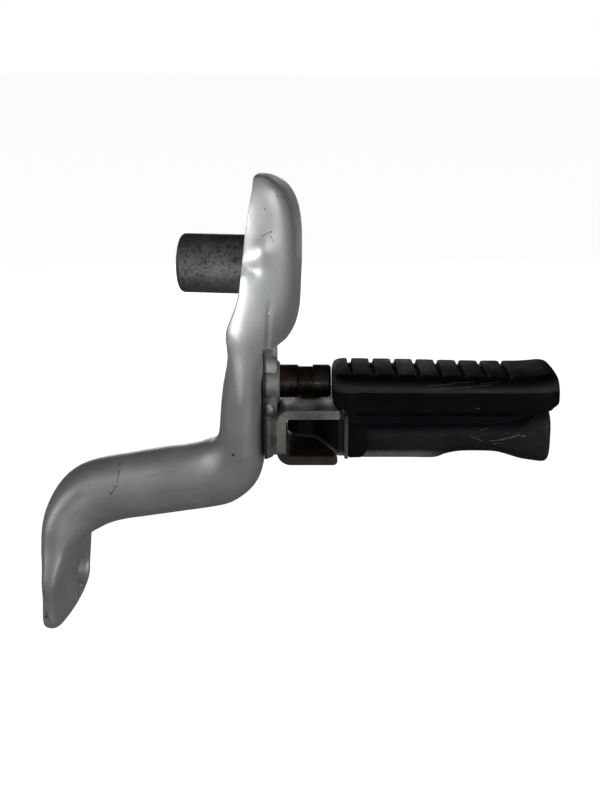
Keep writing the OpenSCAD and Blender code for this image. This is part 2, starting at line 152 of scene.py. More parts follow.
# The stretches over which the plate darkens: painted shade downward from its top, in decimetres below the
# origin, and a darkening outward from the arm, in decimetres along the peg
TOP_SHADE_SPAN = (0.45, 0.5)
ARM_SEAM_SPAN = (0.398, 0.404)

# Decimetres below the origin: where the clevis's low front faces turn dark, where its upward faces stop
# being dark, where the bar's lower edge turns pale, and where the painted sheen on the tread's upper side
# band ends
FLANGE_DARK = (0.9, 0.915)
FLANGE_UPWARD_DARK_END = (0.85, 0.86)
STRIP_HEIGHTS = (0.895, 0.925)
SHEEN_BAND_END = (0.584, 0.588)

# Metres along x: where the bar's pale lower edge ends, and where dust gathers on its flare
STRIP_END = (0.118, 0.13)
FLARE_DUST = (0.145, 0.182)


def peg_point(along, across, z):
    """A point of the peg side, in metres in the row frame."""
    x = SEAT_X + along * math.cos(SWEEP) - across * math.sin(SWEEP)
    y = along * math.sin(SWEEP) + across * math.cos(SWEEP)
    return Vector((x, y, z)) * MM


def camera_axes():
    """The camera's right, up and back directions."""
    a, e = math.radians(CAMERA_AZIMUTH), math.radians(CAMERA_ELEVATION)
    right = Vector((math.cos(a), math.sin(a), 0))
    back = Vector((math.sin(a) * math.cos(e), -math.cos(a) * math.cos(e), math.sin(e)))
    return right, back.cross(right), back


def spline(rows, t):
    """A smooth value between whole rows of a table, at the row number t."""
    last = len(rows) - 1
    i = min(int(t), last - 1)
    u = t - i
    p = [rows[min(max(i + k, 0), last)] for k in (-1, 0, 1, 2)]
    return [
        0.5 * (2 * b + (c - a) * u + (2 * a - 5 * b + 4 * c - d) * u * u + (3 * b - a - 3 * c + d) * u**3)
        for a, b, c, d in zip(*p)
    ]


def spow(v, e):
    """A power that keeps the sign, which squares off a round section."""
    return math.copysign(abs(v) ** e, v)


def smooth(v):
    """A soft step from 0 at 0 to 1 at 1."""
    v = min(max(v, 0), 1)
    return v * v * (3 - 2 * v)


def new_object(name, bm, smooth_angle=40):
    """A mesh object of bm, shaded smooth but for edges sharper than the angle."""
    bmesh.ops.recalc_face_normals(bm, faces=bm.faces)
    mesh = bpy.data.meshes.new(name)
    for f in bm.faces:
        f.smooth = True
    for e in bm.edges:
        if len(e.link_faces) == 2 and e.calc_face_angle(0) > math.radians(smooth_angle):
            e.smooth = False
    bm.to_mesh(mesh)
    bm.free()
    obj = bpy.data.objects.new(name, mesh)
    bpy.context.scene.collection.objects.link(obj)
    return obj


def skin(bm, rings):
    """Adds one closed skin through a list of rings of points."""
    verts = [[bm.verts.new(p) for p in ring] for ring in rings]
    n = len(rings[0])
    for a, b in zip(verts, verts[1:]):
        for i in range(n):
            j = (i + 1) % n
            bm.faces.new((a[i], a[j], b[j], b[i]))
    for ring, order in ((verts[0], 1), (verts[-1], -1)):
        centre = bm.verts.new(sum((v.co for v in ring), Vector()) / n)
        for i in range(n):
            pair = (ring[i], ring[(i + 1) % n])[::order]
            bm.faces.new((*pair, centre))


def lathe(name, profile, centre, along, sides=96, smooth_angle=40):
    """A turned piece: profile holds (radius, distance along the axis) pairs in millimetres, from centre."""
    bm = bmesh.new()
    along = Vector(along).normalized()
    side = along.orthogonal().normalized()
    up = along.cross(side)
    rings = []
    for r, d in profile:
        ring = []
        for i in range(sides):
            a = 2 * math.pi * i / sides
            spoke = side * math.cos(a) + up * math.sin(a)
            ring.append(bm.verts.new(centre + MM * (along * d + r * spoke)))
        rings.append(ring)
    closed = rings + [rings[0]]
    for a, b in zip(closed, closed[1:]):
        for i in range(sides):
            j = (i + 1) % sides
            bm.faces.new((a[i], a[j], b[j], b[i]))
    bmesh.ops.remove_doubles(bm, verts=bm.verts, dist=1e-7)
    return new_object(name, bm, smooth_angle)


def apply_modifiers(obj):
    """Turns what the object shows into its mesh."""
    graph = bpy.context.evaluated_depsgraph_get()
    mesh = bpy.data.meshes.new_from_object(obj.evaluated_get(graph))
    obj.modifiers.clear()
    obj.data = mesh


def cut(obj, *cutters):
    """Cuts solids out of the object and removes them."""
    for c in cutters:
        mod = obj.modifiers.new("cut", "BOOLEAN")
        mod.operation = "DIFFERENCE"
        mod.solver = "EXACT"
        mod.object = c
    bpy.context.view_layer.update()
    apply_modifiers(obj)
    for c in cutters:
        bpy.data.objects.remove(c)


def soften(obj, width, segments=3, angle=35):
    """Rounds the sharp edges."""
    mod = obj.modifiers.new("soften", "BEVEL")
    mod.width = width * MM
    mod.segments = segments
    mod.limit_method = "ANGLE"
    mod.angle_limit = math.radians(angle)
    mod.harden_normals = True


def box_object(name, low, high):
    """A box between two corners of the peg side."""
    bm = bmesh.new()
    corners = [
        bm.verts.new(peg_point(x, y, z))
        for x in (low[0], high[0])
        for y in (low[1], high[1])
        for z in (low[2], high[2])
    ]
    for f in ((0, 1, 3, 2), (4, 6, 7, 5), (0, 4, 5, 1), (2, 3, 7, 6), (0, 2, 6, 4), (1, 5, 7, 3)):
        bm.faces.new([corners[i] for i in f])
    return new_object(name, bm)


def prism(name, outline, place, start, end):
    """A prism over a closed outline: place(u, v, w) gives the point, with w from start to end."""
    bm = bmesh.new()
    low = [bm.verts.new(place(u, v, start)) for u, v in outline]
    high = [bm.verts.new(place(u, v, end)) for u, v in outline]
    n = len(outline)
    bm.faces.new(low[::-1])
    bm.faces.new(high)
    for i in range(n):
        j = (i + 1) % n
        bm.faces.new((low[i], low[j], high[j], high[i]))
    return new_object(name, bm)


def join(name, objects):
    """One object from several."""
    bm = bmesh.new()
    for o in objects:
        graph = bpy.context.evaluated_depsgraph_get()
        mesh = bpy.data.meshes.new_from_object(o.evaluated_get(graph))
        bm.from_mesh(mesh)
    for o in objects:
        bpy.data.objects.remove(o)
    return new_object(name, bm)


# Materials
class Nodes:
    """A short way to build a node material."""

    def __init__(self, name):
        self.material = bpy.data.materials.new(name)
        self.material.use_nodes = True
        self.tree = self.material.node_tree
        self.shader = self.tree.nodes["Principled BSDF"]
        self.position = self.add("ShaderNodeNewGeometry").outputs["Position"]

    def add(self, kind, **inputs):
        node = self.tree.nodes.new(kind)
        for key, value in inputs.items():
            self.set(node.inputs[key.replace("_", " ")], value)
        return node

    def set(self, socket, value):
        if isinstance(value, bpy.types.NodeSocket):
            self.tree.links.new(value, socket)
        else:
            socket.default_value = value

    def vector(self, operation, a, b=(0, 0, 0)):
        node = self.add("ShaderNodeVectorMath")
        node.operation = operation
        self.set(node.inputs[0], a)
        self.set(node.inputs[1], b)
        return node

    def below(self):
        """How far the surface lies below the origin, in decimetres."""
        split = self.add("ShaderNodeSeparateXYZ", Vector=self.position)
        return self.math("MULTIPLY", split.outputs["Z"], -10.0)

    def facing(self):
        """The three parts of the direction that the surface faces."""
        normal = self.add("ShaderNodeNewGeometry").outputs["Normal"]
        return self.add("ShaderNodeSeparateXYZ", Vector=normal).outputs

    def noise(self, scale, detail=6, roughness=0.6, stretch=(1, 1, 1), distortion=0.0):
        node = self.add("ShaderNodeTexNoise", Scale=scale, Detail=detail, Roughness=roughness)
        self.set(node.inputs["Distortion"], distortion)
        self.set(node.inputs["Vector"], self.vector("MULTIPLY", self.position, stretch).outputs[0])
        return node.outputs["Fac"]

    def spots(self, scale, size):
        """1 inside small round spots and 0 between them."""
        node = self.add("ShaderNodeTexVoronoi", Scale=scale, Randomness=1.0)
        self.set(node.inputs["Vector"], self.position)
        return self.ramp(node.outputs["Distance"], [(0, grey4(1)), (size, grey4(0))])

    def patches(self, scale, detail, roughness, at):
        """Ragged patches of 1 among 0, with edges where the noise goes through the stretch at."""
        return self.grey(self.noise(scale, detail, roughness), 0, 1, at)

    def ramp(self, value, stops):
        node = self.add("ShaderNodeValToRGB", Fac=value)
        while len(node.color_ramp.elements) < len(stops):
            node.color_ramp.elements.new(0.5)
        for element, (at, colour) in zip(node.color_ramp.elements, stops):
            element.position = at
            element.color = colour
        return node.outputs["Color"]

    def grey(self, value, low, high, at=(0.3, 0.7)):
        """A grey value from low to high as the value goes through the stretch at."""
        return self.ramp(value, [(at[0], grey4(low)), (at[1], grey4(high))])

    def mix(self, fac, a, b):
        node = self.tree.nodes.new("ShaderNodeMix")
        node.data_type = "RGBA"
        self.set(node.inputs[0], fac)
        self.set(node.inputs[6], a)
        self.set(node.inputs[7], b)
        return node.outputs[2]

    def math(self, operation, a, b):
        node = self.add("ShaderNodeMath")
        node.operation = operation
        self.set(node.inputs[0], a)
        self.set(node.inputs[1], b)
        return node.outputs[0]

    def near(self, point, radius):
        """1 at a point of the surface and 0 past the radius, in millimetres, with a ragged edge."""
        offset = self.vector("SUBTRACT", self.position, point).outputs[0]
        away = self.vector("LENGTH", offset).outputs["Value"]
        ragged = self.math("MULTIPLY", away, self.math("ADD", self.noise(900, 3), 0.5))
        return self.grey(self.math("DIVIDE", ragged, radius * MM), 1, 0, (0.75, 1.0))

    def line(self, start, end, width):
        """1 on a straight scratch between two points and 0 past its half width, in millimetres."""
        start, way = Vector(start), Vector(end) - Vector(start)
        offset = self.vector("SUBTRACT", self.position, tuple(start)).outputs[0]
        share = self.vector("DOT_PRODUCT", offset, tuple(way / way.length_squared)).outputs["Value"]
        share = self.math("MINIMUM", self.math("MAXIMUM", share, 0.0), 1.0)
        along = self.vector("SCALE", tuple(way))
        self.set(along.inputs["Scale"], share)
        away = self.vector("LENGTH", self.vector("SUBTRACT", offset, along.outputs[0]).outputs[0])
        ragged = self.math("MULTIPLY", away.outputs["Value"], self.math("ADD", self.noise(700, 3), 0.5))
        return self.grey(self.math("DIVIDE", ragged, width * MM), 1, 0, (0.5, 1.0))

    def finish(self, colour, roughness, bump, strength, distance, **constants):
        self.set(self.shader.inputs["Base Color"], colour)
        self.set(self.shader.inputs["Roughness"], roughness)
        node = self.add("ShaderNodeBump", Strength=strength, Distance=distance)
        self.set(node.inputs["Height"], bump)
        self.set(self.shader.inputs["Normal"], node.outputs["Normal"])
        for key, value in constants.items():
            self.shader.inputs[key.replace("_", " ")].default_value = value
        return self.material


def grey4(v):
    return (v, v, v, 1)


def silver_paint(marks=(), scratches=()):
    """Matt silver paint with fine orange peel, stains, pin holes, and the marks and lines given: scratches,
    and on the arm also two lines of painted shade.
    """
    n = Nodes("silver_paint")
    mottle = n.noise(45, 5, 0.6)
    base = n.ramp(mottle, [(0.3, (0.34, 0.35, 0.352, 1)), (0.7, (0.47, 0.48, 0.48, 1))])
    stains = n.patches(22, 8, 0.7, (0.6, 0.78))
    base = n.mix(n.math("MULTIPLY", stains, 0.35), base, (0.18, 0.18, 0.175, 1))
    chips_and_shade_lines = n.math("MULTIPLY", n.spots(210, 0.09), n.grey(n.noise(60, 3), 0, 1, (0.5, 0.62)))
    for point, radius in marks:
        chips_and_shade_lines = n.math("MAXIMUM", chips_and_shade_lines, n.near(point, radius))
    # On the arm, some of these lines are painted shade along the crease and the run's top edge.
    for start, end, width in scratches:
        chips_and_shade_lines = n.math("MAXIMUM", chips_and_shade_lines, n.math("MULTIPLY", n.line(start, end, width), 0.8))
    base = n.mix(n.math("MULTIPLY", chips_and_shade_lines, 0.85), base, (0.035, 0.033, 0.03, 1))
    grain = n.noise(1600, 3, 0.5)
    rough = n.grey(n.noise(80, 6), 0.36, 0.45)
    height = n.math("SUBTRACT", n.math("ADD", n.math("MULTIPLY", grain, 0.25), n.noise(260, 4)), chips_and_shade_lines)
    return n.finish(base, rough, height, 0.25, 0.00012, Metallic=0.5, Specular_IOR_Level=0.5)


def grease_and_shade_paint():
    """Silver paint with dark grease blots, painted shade along its top, and a darkening against the arm."""
    n = Nodes("grease_and_shade_paint")
    base = n.ramp(n.noise(60, 6, 0.65), [(0.3, (0.2, 0.2, 0.195, 1)), (0.7, (0.38, 0.385, 0.38, 1))])
    # Painted shade: the plate darkens towards its top.
    top = n.grey(n.below(), 1, 0, TOP_SHADE_SPAN)
    along = n.vector("DOT_PRODUCT", n.position, (math.cos(SWEEP), math.sin(SWEEP), 0)).outputs["Value"]
    seam = n.grey(n.math("MULTIPLY", along, 10.0), 1, 0, ARM_SEAM_SPAN)
    blots = n.grey(n.noise(110, 8, 0.7), 0, 1, (0.48, 0.64))
    # grease holds the grease blots, the painted shade at the top and the darkening against the arm
    grease = n.math("MAXIMUM", n.math("MAXIMUM", top, seam), n.math("MULTIPLY", blots, 0.75))
    base = n.mix(n.math("MULTIPLY", grease, 0.92), base, (0.016, 0.014, 0.012, 1))
    height = n.math("ADD", n.noise(260, 5), n.math("MULTIPLY", grease, 0.6))
    return n.finish(base, n.grey(n.noise(90, 5), 0.3, 0.5), height, 0.3, 0.00015, Metallic=0.4)


def collar_steel():
    """Grey steel with dense dark pitting."""
    n = Nodes("collar_steel")
    base = n.ramp(n.noise(70, 7, 0.7), [(0.3, (0.06, 0.063, 0.063, 1)), (0.72, (0.15, 0.155, 0.155, 1))])
    pits = n.math("MULTIPLY", n.patches(620, 3, 0.6, (0.53, 0.6)), n.patches(38, 4, 0.6, (0.42, 0.55)))
    fine = n.math("MULTIPLY", n.spots(1100, 0.4), n.grey(n.noise(90, 4), 0, 1, (0.45, 0.6)))
    dark = n.math("MAXIMUM", pits, fine)
    base = n.mix(n.math("MULTIPLY", dark, 0.8), base, (0.03, 0.028, 0.026, 1))
    height = n.math("SUBTRACT", n.noise(700, 4), dark)
    return n.finish(base, n.grey(n.noise(150, 5), 0.5, 0.68), height, 0.35, 0.0002, Metallic=0.7)


def bare_steel():
    """Warm grey sheet steel with brown stains, darker in the grain, and darker on its upward faces and its
    low front faces.
    """
    n = Nodes("bare_steel")
    base = n.ramp(n.noise(55, 7, 0.65), [(0.3, (0.2, 0.19, 0.17, 1)), (0.7, (0.37, 0.36, 0.335, 1))])
    stain = n.grey(n.noise(75, 8, 0.7, distortion=0.6), 0, 1, (0.5, 0.7))
    base = n.mix(n.math("MULTIPLY", stain, 0.7), base, (0.13, 0.085, 0.05, 1))
    grease = n.patches(40, 5, 0.6, (0.56, 0.72))
    base = n.mix(n.math("MULTIPLY", grease, 0.6), base, (0.05, 0.045, 0.04, 1))
    pits = n.math("MULTIPLY", n.spots(900, 0.3), n.grey(n.noise(100, 4), 0, 1, (0.5, 0.6)))
    base = n.mix(n.math("MULTIPLY", pits, 0.7), base, (0.06, 0.04, 0.03, 1))
    # Upward faces above the flange line, and low faces that turn to the front, are darkened.
    facing, below = n.facing(), n.below()
    upward = n.grey(facing["Z"], 0, 1, (0.5, 0.8))
    upward = n.math("MULTIPLY", upward, n.grey(below, 1, 0, FLANGE_UPWARD_DARK_END))
    low = n.grey(below, 0, 1, FLANGE_DARK)
    low = n.math("MULTIPLY", low, n.grey(facing["Y"], 1, 0, (0.0, 0.1)))
    darkened_faces = n.math("MULTIPLY", n.math("MAXIMUM", upward, low), n.grey(n.noise(90, 5), 0.8, 1))
    base = n.mix(darkened_faces, base, (0.035, 0.028, 0.023, 1))
    height = n.math("SUBTRACT", n.noise(500, 5), pits)
    return n.finish(base, n.grey(n.noise(120, 5), 0.36, 0.6), height, 0.3, 0.00015, Metallic=0.8)


def rusty_steel():
    """Turned steel under brown rust and old grease."""
    n = Nodes("rusty_steel")
    base = n.ramp(
        n.noise(120, 8, 0.7),
        [(0.3, (0.01, 0.007, 0.005, 1)), (0.5, (0.025, 0.018, 0.014, 1)), (0.72, (0.07, 0.055, 0.045, 1))],
    )
    red = n.patches(160, 6, 0.7, (0.52, 0.68))
    base = n.mix(n.math("MULTIPLY", red, 0.5), base, (0.07, 0.022, 0.01, 1))
    height = n.math("ADD", n.noise(900, 5), n.noise(240, 4))
    return n.finish(base, n.grey(n.noise(200, 5), 0.15, 0.42), height, 0.3, 0.00015, Metallic=0.85)


ZINC_SHADES = ((0.3, 0.29, 0.26), (0.5, 0.49, 0.45))


def zinc_steel(level=1.0):
    """Dull zinc with a yellow-brown bloom, as bright as the level."""
    n = Nodes("zinc_steel")
    low, high = [(level * r, level * g, level * b, 1) for r, g, b in ZINC_SHADES]
    base = n.ramp(n.noise(140, 6, 0.65), [(0.3, low), (0.7, high)])
    bloom = n.patches(210, 7, 0.7, (0.5, 0.7))
    base = n.mix(n.math("MULTIPLY", bloom, 0.5), base, (0.14, 0.1, 0.06, 1))
    return n.finish(base, n.grey(n.noise(200, 5), 0.3, 0.55), n.noise(700, 4), 0.2, 0.0001, Metallic=0.9)


def spring_steel():
    """Dark oiled wire with drawn lines."""
    n = Nodes("spring_steel")
    drawn = n.noise(300, 6, 0.6, (1, 1, 3))
    base = n.ramp(drawn, [(0.3, (0.04, 0.038, 0.035, 1)), (0.7, (0.15, 0.13, 0.11, 1))])
    return n.finish(base, n.grey(n.noise(300, 4), 0.25, 0.45), n.noise(900, 3), 0.15, 0.0001, Metallic=0.9)


def bush_bronze():
    """Worn bronze with dark oil."""
    n = Nodes("bush_bronze")
    base = n.ramp(n.noise(200, 6, 0.6), [(0.3, (0.12, 0.075, 0.03, 1)), (0.7, (0.45, 0.3, 0.13, 1))])
    return n.finish(base, n.grey(n.noise(250, 4), 0.25, 0.5), n.noise(800, 3), 0.15, 0.0001, Metallic=0.95)


def black_paint(scratches=()):
    """Worn black paint: dusty towards the outer flare, rubbed pale along its lower edge, finely scratched."""
    n = Nodes("black_paint")
    mottle = n.noise(60, 7, 0.65)
    base = n.ramp(mottle, [(0.3, (0.006, 0.0063, 0.0067, 1)), (0.7, (0.014, 0.0147, 0.0155, 1))])
    x = n.add("ShaderNodeSeparateXYZ", Vector=n.position).outputs["X"]
    out = n.grey(x, 0, 1, FLARE_DUST)
    dust = n.math("MULTIPLY", out, n.grey(n.noise(70, 7, 0.7), 0.35, 1, (0.3, 0.6)))
    base = n.mix(n.math("MULTIPLY", dust, 0.3), base, (0.05, 0.046, 0.038, 1))
    under = n.grey(n.math("MULTIPLY", n.facing()["Z"], -1.0), 0, 1, (0.45, 0.75))
    low = n.grey(n.below(), 0, 1, STRIP_HEIGHTS)
    rubbed = n.math("MULTIPLY", n.math("MAXIMUM", under, low), n.grey(x, 1, 0, STRIP_END))
    rubbed = n.math("MULTIPLY", rubbed, n.grey(n.noise(130, 6), 0.55, 0.95))
    base = n.mix(rubbed, base, (0.28, 0.28, 0.275, 1))
    hair = n.grey(n.noise(120, 4, 0.5, (1, 1, 14), 1.5), 0, 1, (0.66, 0.7))
    base = n.mix(n.math("MULTIPLY", hair, n.math("MULTIPLY", out, 0.5)), base, (0.4, 0.4, 0.38, 1))
    for start, end, width in scratches:
        base = n.mix(n.math("MULTIPLY", n.line(start, end, width), 0.7), base, (0.22, 0.22, 0.21, 1))
    height = n.math("ADD", n.noise(400, 5), n.noise(90, 3))
    return n.finish(base, n.grey(n.noise(110, 6), 0.36, 0.58), height, 0.2, 0.00015, Specular_IOR_Level=0.18)


def tread_rubber(scratches=()):
    """Near-black rubber with a faint blue cast, fine grain and lengthwise scuffs, with a painted sheen on its
    upper side band and painted shade on its upward faces.
    """
    n = Nodes("tread_rubber")
    base = n.ramp(n.noise(50, 6, 0.6), [(0.3, (0.004, 0.0044, 0.0052, 1)), (0.7, (0.008, 0.0085, 0.0105, 1))])
    scuffs = n.grey(n.noise(260, 6, 0.65, (0.12, 1, 1.6), 0.4), 0, 1, (0.56, 0.74))
    worn = n.math("MULTIPLY", scuffs, n.grey(n.noise(28, 4), 0, 1, (0.42, 0.62)))
    facing = n.facing()
    # Painted sheen: the side faces above the upper crease are lightened, and the scuffs gather there.
    brow_sheen = n.grey(n.below(), 1, 0, SHEEN_BAND_END)
    brow_sheen = n.math("MULTIPLY", brow_sheen, n.grey(facing["Z"], 1, 0, (0.3, 0.8)))
    base = n.mix(n.math("MULTIPLY", brow_sheen, 0.75), base, (0.045, 0.047, 0.052, 1))
    worn = n.math("MULTIPLY", worn, n.math("ADD", n.math("MULTIPLY", brow_sheen, 0.5), 0.2))
    base = n.mix(worn, base, (0.09, 0.092, 0.1, 1))
    # Painted shade: faces that turn upward are darkened.
    top = n.grey(facing["Z"], 0, 0.75, (0.35, 0.75))
    base = n.mix(top, base, (0.0015, 0.0016, 0.002, 1))
    dust = n.math("MULTIPLY", n.spots(700, 0.12), n.grey(n.noise(45, 3), 0, 1, (0.5, 0.62)))
    base = n.mix(n.math("MULTIPLY", dust, 0.5), base, (0.25, 0.24, 0.22, 1))
    for start, end, width in scratches:
        base = n.mix(n.math("MULTIPLY", n.line(start, end, width), 0.6), base, (0.1, 0.102, 0.11, 1))
    height = n.math("ADD", n.noise(2200, 3, 0.5), n.math("MULTIPLY", scuffs, 0.4))
    return n.finish(base, n.grey(n.noise(90, 5), 0.5, 0.7), height, 0.2, 0.0001, Specular_IOR_Level=0.03)


def dress(obj, material):
    """Gives an object the material, as its only one."""
    obj.data.materials.clear()
    obj.data.materials.append(material)


# The arm's skin, by the same rule as the solid's
BEND1 = (27.4 - UPPER_BEND_R, -88.5)


def bend1(degrees):
    a = math.radians(degrees)
    return BEND1[0] + UPPER_BEND_R * math.cos(a), BEND1[1] - UPPER_BEND_R * math.sin(a)


RUN_START = bend1(RUN_TILT)


def run_at(x):
    return x, RUN_START[1] + (x - RUN_START[0]) * math.tan(math.radians(RUN_SLOPE))


BEND2_X = EAR_X + LOWER_BEND_R
BEND2_Z = run_at(BEND2_X - LOWER_BEND_R * math.cos(math.radians(RUN_TILT)))[1] - LOWER_BEND_R * math.sin(
    math.radians(RUN_TILT)
)


def bend2(degrees):
    a = math.radians(degrees)
    return BEND2_X - LOWER_BEND_R * math.cos(a), BEND2_Z + LOWER_BEND_R * math.sin(a)


def tube_row(at, tilt, half_w, half_t, bow=0):
    return [at[0], at[1], tilt, half_w, half_t, 0, bow, 0, 0]


# Each row: x, z, tilt, half width, half thickness, middle y, bow, lean, taper
ARM_ROWS = [
    [40, 45.6, 0, 5, 1.8, -17, 1, 0, 0],
    [39.5, 44.2, 0, 11, 2.8, -13, 3.6, 0, 0],
    [39, 39, 0, 19, 3, -7, 9.3, 0, 0],
    [37.5, 30, 0, 25, 3, -2, 14.2, 0, 0],
    [35.6, 18, 0, 28, 3, 1, 17.6, 0, 0],
    [33.8, 2, 0, 29, 3.2, 2, 19.2, 0, 0],
    [33.5, -12, 0, 29, 5, 3, 16.8, 0.05, 0.2],
    [33.4, -25, 0, 28, 7.6, 3, 12.2, 0.18, 0.3],
    [32.4, -34, 0, 26, 9.2, 2, 9, 0.22, 0.25],
    [31.9, -41, 0, 23, 10, 1, 5, 0.16, 0.15],
    [30.3, -50, 0, 20.5, 10.2, 0, 1, 0.04, 0.05],
    [29.4, -60, 0, 19.5, 10.3, 0, 0, 0, 0],
    tube_row([28.3, -76], 0, 19, 10.8),
    tube_row([27.4, -87], 0, 18.5, 11.4),
    tube_row(bend1(15), 15, 18, 12.6),
    tube_row(bend1(38), 38, 17.2, 17, -1.1),
    tube_row(bend1(60), 60, 16.8, 17.9, -0.6),
    tube_row(RUN_START, RUN_TILT, TUBE_R, TUBE_R + 1.5),
    tube_row(run_at(-8), RUN_TILT, TUBE_R, TUBE_R + 1.4),
    tube_row(run_at(-28), RUN_TILT, TUBE_R, TUBE_R + 1.2),
    tube_row(bend2(RUN_TILT), RUN_TILT, 17, 17, 0.4),
    tube_row(bend2(52), 52, 20, 17, 2.4),
    tube_row(bend2(26), 26, 23.5, 13.8, 2),
    tube_row(bend2(0), 0, 26, 10.2, 0.8),
    [EAR_X, -156, 0, 28, 7.6, -1, 0, 0.02, 0],
    [EAR_X - 0.3, -164, 0, EAR_HALF_W, 6.2, -2, 0, 0.04, 0],
    [EAR_X - 0.6, -173, 0, EAR_HALF_W - 0.5, EAR_HALF_T, -2.5, 0, 0.05, 0],
    [EAR_X - 1, -180.5, 0, 28, EAR_HALF_T, -3, 0, 0.05, 0],
    [EAR_X - 1.2, -184.6, 0, 24.5, EAR_HALF_T, -6.5, 0, 0.05, 0],
    [EAR_X - 1.4, -187.4, 0, 19, 4.8, -11, 0, 0.05, 0],
    [EAR_X - 1.4, -189.2, 0, 12, 3.8, -16, 0, 0.05, 0],
    [EAR_X - 1.4, -190, 0, 5, 2.6, -20, 0, 0.05, 0],
]


def arm_point(row, a):
    """The point of a row's section at the angle a round it."""
    x, z, tilt, half_w, half_t, mid_y, bow, lean, taper = row
    flat = 1 - 0.45 * max(0, 1 - half_t / half_w)
    c = math.cos(a)
    p = half_w * spow(c, flat)
    q = half_t * spow(math.sin(a), flat) * (1 - taper * c) + bow * (1 - c**4) + lean * p
    t = math.radians(tilt)
    return Vector((x + q * math.cos(t), mid_y + p, z - q * math.sin(t))) * MM


def seen_at(point):
    """The photograph's pixel that a point falls on."""
    right, up, back_way = camera_axes()
    away = CAMERA_TARGET + CAMERA_DISTANCE * back_way - point
    depth = away.dot(back_way)
    x, y = IMAGE_CENTRE
    return x - FOCAL_PX * away.dot(right) / depth, y + FOCAL_PX * away.dot(up) / depth


def off_line(x, y, line):
    """The distance of a pixel from a broken line, and how far along the line it is, from 0 to 1."""
    best, place = math.inf, 0
    for i, (a, b) in enumerate(zip(line, line[1:])):
        a, b, p = Vector(a), Vector(b), Vector((x, y))
        u = min(max((p - a).dot(b - a) / (b - a).length_squared, 0), 1)
        away = (p - a - u * (b - a)).length
        if away < best:
            best, place = away, (i + u) / (len(line) - 1)
    return best, place


# Forms pressed into the arm's front, placed by pixels of the photograph, with heights and depths in
# millimetres: the swell beside the collar, the valley below it, the crease where the tube runs in front of
# the dish, the dish, and its rim
SWELL_AT, SWELL_REACH, SWELL_OUT = (263, 251), 13, 2
VALLEY, VALLEY_WIDTH, VALLEY_IN = [(236, 272), (246, 268), (254, 271)], 5, 0.9
CREASE, CREASE_IN, CREASE_FADE = [(268.5, 298), (268, 325), (267, 354)], 2, 0.25
CREASE_WIDTH_LEFT, CREASE_WIDTH_RIGHT = 1.44, 2.56
DISH_AT, DISH_REACH, DISH_IN = (283, 328), 13, 2.4
DISH_EDGE, DISH_EDGE_WIDTH = 267, 4
RIM, RIM_WIDTH, RIM_OUT = [(298, 318), (294, 331), (281, 344), (266, 355)], 1.8, 1.1

# The pixel row and the height in metres below which nothing is pressed, and how far a face has to turn to
# the camera
FORMS_LAST_ROW = 370
FORMS_LOWEST = -0.07
FACING_START, FACING_SPAN = 0.1, 0.4


def hump(x, y, at, reach):
    """1 at a pixel, falling off round it over the reach."""
    return math.exp(-((x - at[0]) ** 2 + (y - at[1]) ** 2) / reach**2)


def ridge(away, width):
    """1 on a line, falling off beside it over the width."""
    return math.exp(-((away / width) ** 2))


def pressed(point):
    """How far a point of the arm's front moves towards the camera by these forms, in millimetres."""
    x, y = seen_at(point)
    if y > FORMS_LAST_ROW:
        return 0
    swell = SWELL_OUT * hump(x, y, SWELL_AT, SWELL_REACH)
    away, place = off_line(x, y, CREASE)
    width = CREASE_WIDTH_RIGHT if x > CREASE[0][0] else CREASE_WIDTH_LEFT
    crease = CREASE_IN * smooth(place / CREASE_FADE) * ridge(away, width)
    dish = DISH_IN * hump(x, y, DISH_AT, DISH_REACH) * smooth((x - DISH_EDGE) / DISH_EDGE_WIDTH)
    rim = RIM_OUT * ridge(off_line(x, y, RIM)[0], RIM_WIDTH)
    valley = VALLEY_IN * ridge(off_line(x, y, VALLEY)[0], VALLEY_WIDTH)
    return swell - crease - dish - valley + rim


# The bends' inner corners that are eased into round hollows: x, z, reach and rounds of easing, and the
# shares of the reach that take those rounds one after another
EASED_BENDS = [(8, -92, 21, 70), (-43, -139, 18, 50), (16, -47, 20, 50)]
EASED_SHARES = (1, 0.8, 0.6)


def ease_bends(bm):
    """Rounds the arm's skin at the inner corners of its bends."""
    axes = {"use_axis_x": True, "use_axis_y": True, "use_axis_z": True}
    for x, z, reach, rounds in EASED_BENDS:
        for share in EASED_SHARES:
            near = [v for v in bm.verts if math.hypot(v.co.x / MM - x, v.co.z / MM - z) < reach * share]
            for _ in range(rounds):
                bmesh.ops.smooth_vert(bm, verts=near, factor=0.5, **axes)
    bm.normal_update()


def press_forms(bm):
    """Moves the front of the arm's skin by the forms pressed into it."""
    toward = camera_axes()[2]
    moves = []
    for v in bm.verts:
        facing = smooth((v.normal.dot(toward) - FACING_START) / FACING_SPAN)
        if facing > 0 and v.co.z > FORMS_LOWEST:
            moves.append((v, MM * pressed(v.co) * facing * toward))
    for v, move in moves:
        v.co += move


